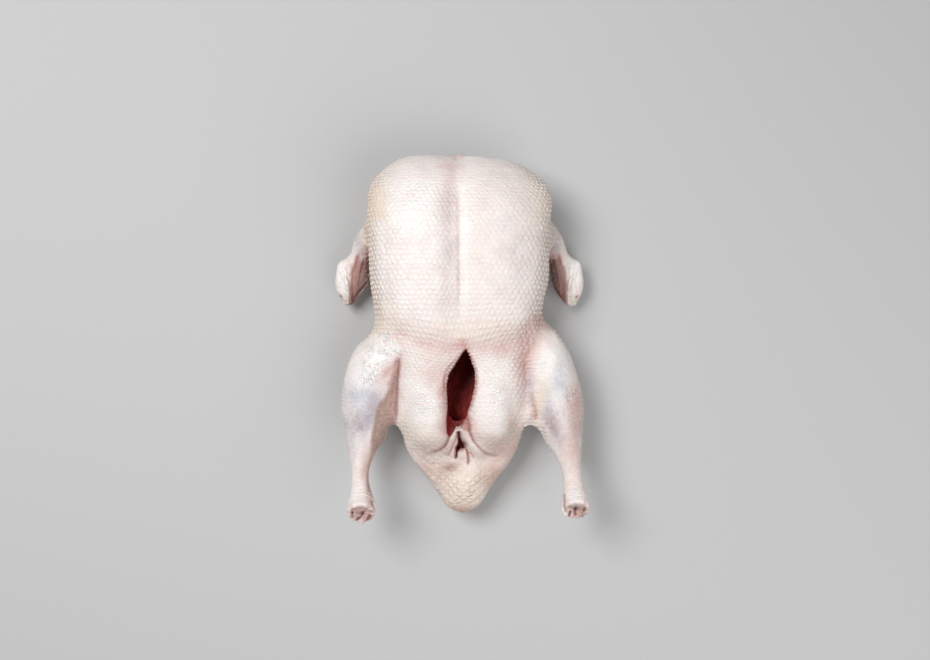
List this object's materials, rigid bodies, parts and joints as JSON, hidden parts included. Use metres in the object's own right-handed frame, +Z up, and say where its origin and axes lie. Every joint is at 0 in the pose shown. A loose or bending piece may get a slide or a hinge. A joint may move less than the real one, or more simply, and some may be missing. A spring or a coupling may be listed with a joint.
{
  "type": "raw whole duck",
  "caption": "Plucked and drawn duck on its back, breast up, with splayed legs cut at the hock, wing stubs and an open body cavity under a slit in the belly.",
  "frame": {"origin": "centre of the bird's outline seen from above, on the surface its back rests on", "axes": "+Y along the bird towards the neck, +X to the right as seen from above with the neck at the top, +Z up out of the breast"},
  "size_m": [0.2338, 0.3334, 0.0997],
  "materials": {
    "skin": "satin"
  },
  "bodies": {
    "root": {"duck": "skin"}
  },
  "joints": []
}
